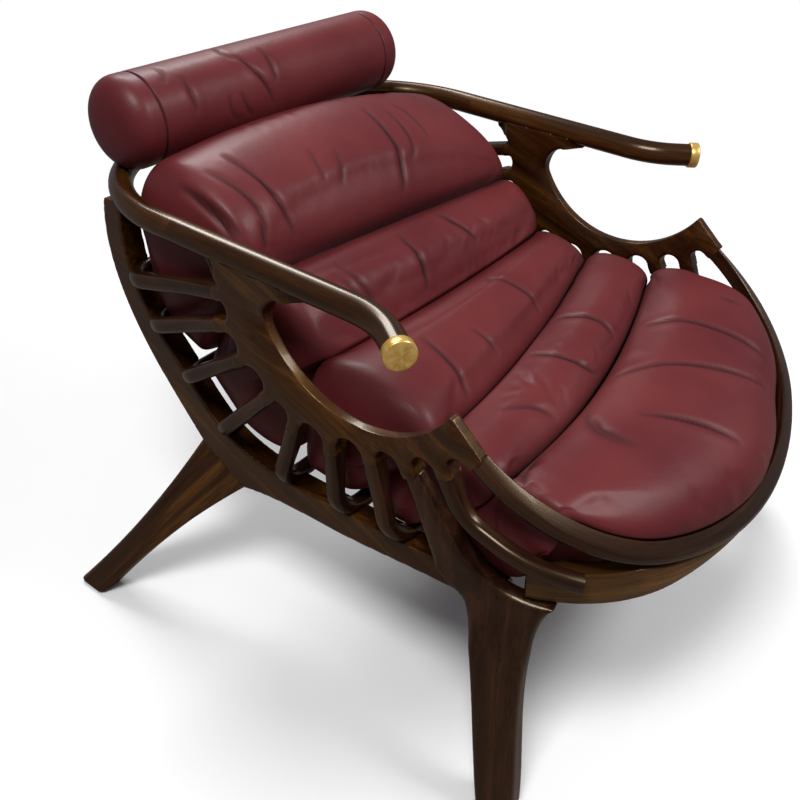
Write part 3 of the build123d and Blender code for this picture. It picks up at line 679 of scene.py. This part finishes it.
leg_side = joint_normal if (place(0.9, 0.0) - joint_place[1:]) @ joint_normal[1:] > 0 else -joint_normal
leg = sawn(joined, "rear_leg_carved_right", joint_place, leg_side)
keel = sawn(joined, "keel_board_right", joint_place, -leg_side)
bpy.data.objects.remove(joined)
grain_along(leg, (-0.48, 0.5, -0.72), 19.0)
grain_along(keel, (0, 0.9, 0.42), 23.0)
dress(leg, walnut, "rear_leg_right")
dress(mirrored(leg, "rear_leg_carved_left"), walnut, "rear_leg_left")
dress(keel, walnut, "keel_right")
dress(mirrored(keel, "keel_board_left"), walnut, "keel_left")

# Dowels, pegs, bolts and glides. The dowels and pegs are pale beech, glued in; the bolts are steel
# and the glides under the feet plastic. They keep their CAD form.
beech = wood("beech", (0.34, 0.22, 0.12), (0.42, 0.29, 0.17), (0.50, 0.36, 0.22), 0.6, 0.0)
steel = shader("steel", (0.35, 0.34, 0.33), 0.35, metallic=1.0)[0]
plastic = shader("plastic", (0.012, 0.011, 0.011), 0.5)[0]
for name, material in {
    "rib_dowels": beech, "rim_dowels": beech, "post_dowels": beech, "rail_pegs": beech, "leg_pegs": beech,
    "leg_bolts": steel, "foot_glides": plastic,
}.items():
    nodes[name].data.materials.clear()
    nodes[name].data.materials.append(material)


# Pad. Five stuffed rolls of dark red leather between stitched valleys, drawn in at their ends and
# loose on the ribs. Each is laid out as a slack tube, blown up a little as cloth, and then creased
# where the cover is gathered. Valleys 1 to 5 are given at their right, middle and left, and a crown's
# height is a share of its roll's width, with what that gains towards the right and the left.
pad_half, pad_end = 0.302, 0.252
rim_inset, rim_lap = rim_width / 2 - 0.004, 0.0105
foot_bend, foot_start = 0.0415, 0.262
valley_at, valley_end = 0.28, 0.285
sink_run, sink_back, sink_down = 0.15, 0.007, 0.012
valley_shares = (
    ((0.243, 0.676), (0.344, 0.692), (0.552, 0.736), (0.657, 0.906), (0.854, 1.053)),
    ((0.262, 0.640), (0.386, 0.652), (0.543, 0.736), (0.643, 0.888), (0.875, 1.068)),
    ((0.334, 0.696), (0.450, 0.699), (0.552, 0.736), (0.622, 0.872), (0.824, 1.028)),
)
valley_right, valley_middle, valley_left = ([place(*spot) for spot in line] for line in valley_shares)
crown_shares = (0.27, 0.31, 0.27, 0.37, 0.31)
crown_side_shares = ((-0.1, -0.12), (-0.1, -0.05), (-0.1, -0.1), (-0.1, -0.15), (0.2, -0.32))
base_line = []
for root, crossing in zip(rib_roots, rib_crossings):
    base_line.append(crossing - unit(crossing - root) * (bar / 2 + 0.001))
roll_bases = [base_line[i:j][::-1] for i, j in ((6, 7), (5, 7), (4, 6), (2, 5), (0, 3))]

leather, tree, bsdf = shader(
    "leather", (0.11, 0.015, 0.016), 0.45, coat=0.04, coat_roughness=0.2, specular=0.22
)
leather_tones = [(0.3, (0.084, 0.0100, 0.0130)), (0.7, (0.132, 0.0205, 0.0220))]
spot = node(tree, "ShaderNodeTexCoord").outputs["Object"]
tone = ramp(tree, stretched(tree, spot, (5, 5, 5), 3), leather_tones)
# The attribute "fold" darkens the base colour towards near black and raises the roughness: painted shade in
# the creases and along the valleys, and a dark line along the bolster's sewn ring.
painted_fold_shade = node(tree, "ShaderNodeAttribute", attribute_name="fold").outputs["Fac"]
mix = node(tree, "ShaderNodeMix", data_type="RGBA")
tree.links.new(painted_fold_shade, mix.inputs["Factor"])
tree.links.new(tone, mix.inputs["A"])
mix.inputs["B"].default_value = (0.016, 0.001, 0.002, 1)
tree.links.new(mix.outputs["Result"], bsdf.inputs["Base Color"])
dull = node(tree, "ShaderNodeMapRange")
dull.inputs["To Min"].default_value, dull.inputs["To Max"].default_value = 0.45, 1.0
tree.links.new(painted_fold_shade, dull.inputs["Value"])
tree.links.new(dull.outputs["Result"], bsdf.inputs["Roughness"])
pebble = bump(tree, bsdf, stretched(tree, spot, (420, 420, 420), 2), 0.16, 0.0006)
bump(tree, bsdf, stretched(tree, spot, (34, 34, 34), 3), 0.22, 0.0025, pebble)


def valley(number, x):
    """Where a valley's bottom lies at this distance across the chair, as (Y, Z). The first one runs
    along the rim, and lies lower on the far side, where the rim shows behind the front roll."""
    x = max(-valley_end, min(valley_end, x))
    if number == 0:
        corner = rim_corner - rim_inset
        offset, setback, turn, radius = front_curve(reach - rim_inset, corner, rim_reach - rim_inset)
        if abs(x) > offset + corner * cos(turn):
            run = sqrt(max(corner**2 - (abs(x) - offset) ** 2, 0))
        else:
            run = sqrt(radius**2 - x**2) - setback
        sink = min(max(x / sink_run, 0), 1)
        along, up = run - sink_back * sink, rim_lap - sink_down * sink
        return rim_joint[1:] + rim_flat * along + rim_up[1:] * up
    right, middle, left = valley_right[number - 1], valley_middle[number - 1], valley_left[number - 1]
    side = x / valley_at
    return middle + (left - right) / 2 * side + ((left + right) / 2 - middle) * side**2


def rise(number, x):
    """The direction (Y, Z) in which a roll stands up from its two valleys."""
    chord = valley(number + 1, x) - valley(number, x)
    return unit([-chord[1], chord[0]])


def roll_section(number, x, count=88):
    """One roll's outline (Y, Z) at this distance across: over the crown, down and along the ribs."""
    front, rear = valley(number, x), valley(number + 1, x)
    chord, up = rear - front, rise(number, x)
    side = crown_side_shares[number][int(x > 0)] * (x / valley_at) ** 2
    crown = np.linalg.norm(chord) * crown_shares[number] * (1 + side)
    angles = np.linspace(pi, 0, count // 2)
    u = np.sign(np.cos(angles)) * np.abs(np.cos(angles)) ** 0.86
    v = np.sin(angles) ** 0.86
    top = (front + rear) / 2 + chord / 2 * u[:, None] + up * crown * v[:, None]
    base = [np.array(p) for p in roll_bases[number]]
    # The front roll's base starts behind the rim, drops and runs back to the last rib.
    if number == 0:
        inner = front - rim_flat * 0.010
        base = [inner, inner - rim_up[1:] * 0.032, np.array([front[0] + 0.036, 0.480 * arm_height]), *base]
    sagging = [base[0]]
    for a, b in zip(base, base[1:]):
        sag = unit([b[1] - a[1], a[0] - b[0]]) * 0.010
        sagging += [(a + b) / 2 + (sag if sag @ up < 0 else -sag), b]
    under = subdivided([rear, *sagging[::-1], front], 0.004)
    shares = np.linspace(0, len(under) - 1, count - count // 2 + 2)[1:-1]
    index = shares.astype(int)
    under = under[index] + (under[index + 1] - under[index]) * (shares - index)[:, None]
    loop = np.concatenate([top, under])
    below = np.arange(count) >= count // 2 + 3
    below &= np.arange(count) <= count - 3
    for _ in range(8):
        mean = (np.roll(loop, 1, 0) + np.roll(loop, -1, 0)) / 2
        loop[below] = mean[below]
    # Neighbouring rolls stay on their own sides of the valley between them.
    for number_there, valley_there, sign in ((number - 1, front, 1), (number + 1, rear, -1)):
        if 0 <= number_there <= 4:
            fold = unit(up + rise(number_there, x))
            out = sign * np.array([fold[1], -fold[0]])
            out = out if out @ chord * sign > 0 else -out
            behind = (loop - valley_there) @ out
            upper = (loop - valley_there) @ fold > -0.01
            loop += out * np.where(upper & (behind < 0.0007), 0.0007 - behind, 0)[:, None]
    return loop


def closed_tube(name, rings, tips):
    """A tube through rings of points, closed by a fan of triangles round a tip at either end."""
    count = len(rings[0])
    vertices = [point for ring in rings for point in ring]
    faces = []
    for i in range(len(rings) - 1):
        for j in range(count):
            k = (j + 1) % count
            faces.append((i * count + j, (i + 1) * count + j, (i + 1) * count + k, i * count + k))
    for ring, tip, order in ((0, tips[0], 1), (len(rings) - 1, tips[1], -1)):
        vertices.append(tip)
        middle = len(vertices) - 1
        for j in range(count):
            pair = (ring * count + j, ring * count + (j + 1) % count)
            faces.append((*pair, middle)[::order])
    obj = new_object(name, vertices, faces)
    clean = bmesh.new()
    clean.from_mesh(obj.data)
    bmesh.ops.recalc_face_normals(clean, faces=clean.faces)
    clean.to_mesh(obj.data)
    clean.free()
    return obj


def roll_mesh(number, name):
    """The slack roll: sections across the chair, drawn in towards both ends."""
    full = 0.270 if number == 0 else pad_end
    inner = np.linspace(0, full, 37)
    turns = np.linspace(0, pi / 2, 18)[1:]
    side = np.concatenate([inner, full + (pad_half - full) * np.sin(turns)])
    across = np.concatenate([-side[:0:-1], side])
    rings = []
    for x in across:
        loop = roll_section(number, x)
        centre = loop.mean(axis=0)
        past = min(max(abs(x) - full, 0) / (pad_half - full), 0.9999)
        up = rise(number, x)
        along = np.array([up[1], -up[0]])
        blunt = 7 if number == 0 else 3.4
        lengthwise = max((1 - past**blunt) ** (1 / blunt), 0.06)
        upright = max((1 - past**2.5) ** (1 / 2.5), 0.04)
        away = loop - centre
        height = away @ up
        past_bend = max(abs(x) - foot_start, 0)
        lift = np.full(len(loop), foot_bend - sqrt(max(foot_bend**2 - past_bend**2, 0)))
        if number == 0:
            lift *= 1 - 0.7 * np.clip((base_line[6][0] - 0.015 - loop[:, 0]) / 0.05, 0, 1)
        foot = height.min() + lift
        middle = foot + 0.30 * (height.max() - foot)
        squeeze = np.where(height > middle, upright, upright**0.6)
        height = middle + (np.maximum(height, foot) - middle) * squeeze
        rings.append(centre + np.outer(away @ along, along) * lengthwise + np.outer(height, up))
    tips = [(across[i], *rings[i].mean(axis=0)) for i in (0, -1)]
    return closed_tube(name, [[(x, *point) for point in ring] for x, ring in zip(across, rings)], tips)


def blown(obj, cap, pressure=4.0, frames=12):
    """Swells a cushion as cloth under pressure; no point moves further than the cap."""
    rest = as_array(obj.data).copy()
    cloth = obj.modifiers.new("cloth", "CLOTH")
    cloth.settings.use_pressure = True
    cloth.settings.uniform_pressure_force = pressure
    cloth.settings.effector_weights.gravity = 0
    cloth.settings.quality = 5
    cloth.point_cache.frame_start = 1
    cloth.point_cache.frame_end = frames
    for step in range(1, frames + 1):
        scene.frame_set(step)
    made = bpy.data.meshes.new_from_object(obj.evaluated_get(bpy.context.evaluated_depsgraph_get()))
    obj.modifiers.clear()
    old, obj.data = obj.data, made
    bpy.data.meshes.remove(old)
    scene.frame_set(1)
    move = as_array(obj.data) - rest
    size = np.linalg.norm(move, axis=1)
    move *= np.minimum(1, cap / np.maximum(size, 1e-9))[:, None]
    set_array(obj.data, rest + move)


def creased(obj, lines):
    """Presses creases into a cushion and paints shade into them. Each line has its depth, width and points.
    """
    spots = as_array(obj.data)
    fold = np.zeros(len(spots))
    normals = np.empty(len(spots) * 3)
    obj.data.vertices.foreach_get("normal", normals)
    normals = normals.reshape(-1, 3)
    push = np.zeros(len(spots))
    surface = BVHTree.FromPolygons(spots.tolist(), [list(face.vertices) for face in obj.data.polygons])
    for depth_in, width, points in lines:
        points = np.array([surface.find_nearest(point)[0] for point in subdivided(points, 0.008)])
        near = np.all((spots > points.min(0) - 0.04) & (spots < points.max(0) + 0.04), axis=1)
        here = spots[near]
        best, share_there = np.full(len(here), 9.0), np.zeros(len(here))
        lengths = np.linalg.norm(np.diff(points, axis=0), axis=1)
        starts = np.concatenate([[0], np.cumsum(lengths)])
        for start, end, before, length in zip(points, points[1:], starts, lengths):
            run = end - start
            share = np.clip(((here - start) @ run) / (run @ run), 0, 1)
            away = np.linalg.norm(here - start - share[:, None] * run, axis=1)
            closer = away < best
            best[closer] = away[closer]
            share_there[closer] = ((before + share * length) / starts[-1])[closer]
        taper = np.sqrt(np.clip(np.sin(pi * np.clip(share_there, 0.0, 1.0)), 0, 1))
        wave = -np.exp(-((best / width) ** 2)) + 0.24 * np.exp(-(((best - 2.8 * width) / (2 * width)) ** 2))
        push[near] += 0.62 * depth_in * wave * taper
        # Painted shade: the crease's bottom is darkened, more where the crease is deeper.
        dark = min(depth_in / 0.0045, 1) * taper * np.exp(-((best / width / 0.9) ** 2))
        fold[near] = np.maximum(fold[near], dark)
    set_array(obj.data, spots + normals * push[:, None])
    return fold


# Each crease has its depth and width in millimetres and three places that it runs through: the
# distance across in millimetres, and the share of the way from the roll's front valley to its rear.
creases = {
    "pad_front_roll": [
        (5.5, 4.2, (135, 0.95), (165, 0.5), (175, 0.15)),
        (5.5, 4.2, (-5, 0.95), (55, 0.65), (120, 0.15)),
        (5, 4.2, (-80, 0.7), (-45, 0.45), (-20, 0.2)),
        (4, 4.5, (-195, 0.97), (-235, 0.97), (-280, 0.7)),
        (3, 4, (235, 0.5), (240, 0.4), (245, 0.3)),
        (2.5, 7, (-90, 0.97), (-140, 0.8), (-135, 0.55)),
        (3, 6, (-110, 0.9), (-135, 0.75), (-130, 0.55)),
    ],
    "pad_seat_roll": [
        (4.5, 4.2, (80, 0.95), (90, 0.45), (90, 0.1)),
        (4.5, 4.2, (-25, 0.9), (-15, 0.3), (10, 0.05)),
        (3, 6, (-175, 0.65), (-145, 0.4), (-125, 0.1)),
    ],
    "pad_hip_roll": [
        (4, 4.5, (55, 0.8), (70, 0.35), (70, 0.1)),
        (4, 4.5, (-155, 0.6), (-170, 0.2), (-175, 0.05)),
        (3, 4, (-80, 0.45), (-75, 0.25), (-70, 0.15)),
    ],
    "pad_lumbar_roll": [
        (4.5, 4, (55, 0.85), (80, 0.45), (90, 0.3)),
        (4.5, 4, (-40, 0.8), (-45, 0.3), (-50, 0.1)),
        (3, 4, (-170, 0.8), (-155, 0.3), (-150, 0.15)),
        (2.5, 4, (-190, 0.7), (-180, 0.55), (-175, 0.3)),
    ],
    "pad_back_roll": [
        (4.5, 4, (-210, 0.65), (-195, 0.25), (-190, 0.05)),
        (3, 4, (-235, 0.2), (-240, 0.1), (-240, 0.05)),
        (4, 4, (-295, 0.65), (-285, 0.4), (-280, 0.15)),
        (5, 4.2, (65, 0.65), (50, 0.3), (25, 0.05)),
        (3.5, 4, (100, 0.6), (90, 0.35), (65, 0.2)),
        (3.5, 4.5, (-250, 0.6), (-230, 0.25), (-240, 0.1)),
        (2.5, 4, (-55, 0.4), (-65, 0.3), (-80, 0.2)),
        (3, 4, (-295, 0.7), (-275, 0.4), (-270, 0.15)),
        (3, 4, (-295, 0.55), (-285, 0.35), (-285, 0.2)),
        (3, 4, (125, 0.65), (135, 0.5), (125, 0.3)),
        (2.5, 4, (-90, 0.45), (-100, 0.35), (-105, 0.25)),
    ],
}


def on_roll(number, across, share):
    """The place over a roll's crown for a place of a crease."""
    x = across / 1000
    front, rear = valley(number, x), valley(number + 1, x)
    height = np.linalg.norm(rear - front) * crown_shares[number] * (1 - abs(2 * share - 1) ** 2.3) ** 0.43
    return np.array([x, *(front + (rear - front) * share + rise(number, x) * height)])


def curve_through(start, bend_place, end_place, count=9):
    """Points on the plain curve through three places."""
    t = np.linspace(0, 1, count)[:, None]
    return start * (1 - t) * (1 - 2 * t) + bend_place * 4 * t * (1 - t) + end_place * t * (2 * t - 1)


def stuffed(cushion, fold, node_name, body):
    """Keeps a finished cushion's fold mask, which holds its painted shade, for its material, smooths its
    faces and dresses it.
    """
    cushion.data.attributes.new("fold", "FLOAT", "POINT").data.foreach_set("value", fold)
    cushion.data.polygons.foreach_set("use_smooth", [True] * len(cushion.data.polygons))
    dress(cushion, leather, node_name, body=body)


for number, roll in enumerate(creases):
    cushion = roll_mesh(number, roll + "_cushion")
    blown(cushion, 0.004)
    modified(cushion, "SUBSURF", levels=1, render_levels=1)
    lines = [
        (depth_in / 1000, width / 1000, curve_through(*(on_roll(number, *spot) for spot in run)))
        for depth_in, width, *run in creases[roll]
    ]
    fold = creased(cushion, lines)
    spots = as_array(cushion.data)
    spots[:, 0] *= min(1, pad_half / np.abs(spots[:, 0]).max())
    set_array(cushion.data, spots)
    # Painted shade: the leather is darkened beside each stitched valley, where the rolls meet, fading out
    # over a couple of centimetres.
    for valley_number in (number, number + 1):
        if 1 <= valley_number <= 4:
            across = np.linspace(-pad_half, pad_half, 121)
            seam = np.array([valley(valley_number, x) for x in across])
            away = [spots[:, i + 1] - np.interp(spots[:, 0], across, seam[:, i]) for i in (0, 1)]
            fold = np.maximum(fold, 0.75 * np.exp(-((np.hypot(*away) / 0.016) ** 2)))
    stuffed(cushion, fold, roll, "pad")

# Head bolster. A loose leather cylinder, stuffed firm, with a sewn ring and a soft dome at either
# end. It lies on the pad's back roll, in front of the back rail.
corners = as_array(nodes["head_bolster"].data)
bolster_centre = (corners.min(axis=0) + corners.max(axis=0)) / 2 - (0.008, 0, 0)
half, radius, dome, seam_inset = 0.272, 0.0605, 0.034, 0.05
profile = [(-half + dome * (1 - cos(a)), radius * sin(a) ** 0.75) for a in np.linspace(0.03, pi / 2, 18)]
by_seam = -half + seam_inset + np.linspace(-0.005, 0.005, 11)
places = np.concatenate([np.linspace(-half + dome, 0, 44)[1:], by_seam])
profile += [(x, radius) for x in np.unique(places.round(5))]
profile += [(-x, r) for x, r in profile[-2::-1]]
around = 84
angles = [2 * pi * j / around for j in range(around)]
rings = []
for x, r in profile:
    r -= 0.0024 * np.exp(-(((abs(x) - (half - seam_inset)) / 0.0014) ** 2))
    rings.append([bolster_centre + np.array([x, r * cos(a), r * sin(a)]) for a in angles])
tips = [bolster_centre + np.array([x, 0, 0]) for x in (profile[0][0], profile[-1][0])]
cushion = closed_tube("head_bolster_cushion", rings, tips)
modified(cushion, "SUBSURF", levels=1, render_levels=1)
bolster_creases = [
    (4, 3.6, (-70, 65), (-50, 30), (-30, -15)),
    (3, 3.4, (-170, 55), (-170, 25), (-170, 5)),
    (3, 3.4, (-20, 65), (-20, 45), (-20, 15)),
    (2.5, 3.4, (-70, 105), (-80, 75), (-70, 55)),
    (2.5, 3.4, (-110, 15), (-110, -5), (-100, -20)),
    (2.5, 3.4, (-90, 15), (-80, -10), (-70, -20)),
    (2, 3.4, (-190, 85), (-190, 65), (-200, 50)),
]


def on_bolster(across, turn):
    """The place on the bolster for a place of a crease: across, and degrees up from its front."""
    angle = radians(turn)
    return bolster_centre + np.array([across / 1000, -radius * cos(angle), radius * sin(angle)])


lines = [
    (depth_in / 1000, width / 1000, curve_through(*(on_bolster(*spot) for spot in run)))
    for depth_in, width, *run in bolster_creases
]
fold = creased(cushion, lines)
seam = np.abs(np.abs(as_array(cushion.data)[:, 0] - bolster_centre[0]) - (half - seam_inset))
fold = np.maximum(fold, 0.8 * np.exp(-((seam / 0.0016) ** 2)))
stuffed(cushion, fold, "head_bolster", "bolster")


# Floor. A plain white ground to the camera, which fades out at some distance from the chair. Light
# and reflections see it darker, or else the lacquer and the leather look washed out.
fade_start, fade_end, ground = 0.7, 1.6, 40


def camera_only(tree, seen, otherwise):
    """Mixes two colours: one that the camera sees, and one for all other rays."""
    path = tree.nodes.new("ShaderNodeLightPath")
    mix = node(tree, "ShaderNodeMix", data_type="RGBA")
    mix.inputs["A"].default_value = (*otherwise, 1)
    mix.inputs["B"].default_value = (*seen, 1)
    tree.links.new(path.outputs["Is Camera Ray"], mix.inputs["Factor"])
    return mix.outputs["Result"]


floor_material, tree, bsdf = shader("floor", (0.9, 0.9, 0.9), 0.8, specular=0.1)
tree.links.new(camera_only(tree, (0.97, 0.97, 0.97), (0.24, 0.20, 0.17)), bsdf.inputs["Base Color"])
spot = node(tree, "ShaderNodeTexCoord").outputs["Object"]
length = node(tree, "ShaderNodeVectorMath", operation="LENGTH")
tree.links.new(spot, length.inputs[0])
fade = node(tree, "ShaderNodeMapRange", interpolation_type="SMOOTHSTEP")
fade.inputs["From Min"].default_value, fade.inputs["From Max"].default_value = fade_start, fade_end
tree.links.new(length.outputs["Value"], fade.inputs["Value"])
clear = node(tree, "ShaderNodeBsdfTransparent")
blend = node(tree, "ShaderNodeMixShader")
tree.links.new(fade.outputs["Result"], blend.inputs["Fac"])
tree.links.new(bsdf.outputs["BSDF"], blend.inputs[1])
tree.links.new(clear.outputs["BSDF"], blend.inputs[2])
output = next(n for n in tree.nodes if n.type == "OUTPUT_MATERIAL")
tree.links.new(blend.outputs["Shader"], output.inputs["Surface"])
corners = [(x * ground, y * ground, 0) for x, y in ((-1, -1), (1, -1), (1, 1), (-1, 1))]
floor = new_object("floor", corners, [(0, 1, 2, 3)], smooth=False)
floor.data.materials.append(floor_material)

# Camera. Its place, direction and focal length in picture widths are worked out from points of the
# photograph that mirror each other on the chair's two sides.
camera_data = bpy.data.cameras.new("camera")
camera_data.sensor_width = 36
camera_data.lens = 900 / 800 * camera_data.sensor_width
camera = bpy.data.objects.new("camera", camera_data)
scene.collection.objects.link(camera)
camera.location = (-0.946, -0.6145, 1.03)
camera.rotation_euler = Vector((0.652, 0.504, -0.566)).to_track_quat("-Z", "Y").to_euler()
scene.camera = camera

# Backdrop and light. White to the camera and grey to all else, with three soft boxes overhead: the
# key on the sitter's right, the fill in front, and one behind that lights the rails.
world = bpy.data.worlds.new("world")
world.use_nodes = True
tree = world.node_tree
background = tree.nodes["Background"]
tree.links.new(camera_only(tree, (1, 1, 1), (0.19, 0.19, 0.20)), background.inputs["Color"])
scene.world = world


def softbox(name, where, aim, size, power):
    data = bpy.data.lights.new(name, "AREA")
    data.shape = "RECTANGLE"
    data.size, data.size_y = size
    data.energy = power
    light = bpy.data.objects.new(name, data)
    light.location = where
    light.rotation_euler = (Vector(aim) - Vector(where)).to_track_quat("-Z", "Y").to_euler()
    scene.collection.objects.link(light)


softbox("key", (-1.2, -0.4, 2.6), (0, 0, 0.4), (0.8, 0.8), 46)
softbox("fill", (0.8, -1.6, 2.2), (0, 0, 0.4), (1.2, 0.6), 34)
softbox("back", (0.9, 1.7, 2.3), (0, 0, 0.4), (1.4, 0.5), 40)
scene.view_settings.view_transform = "Standard"
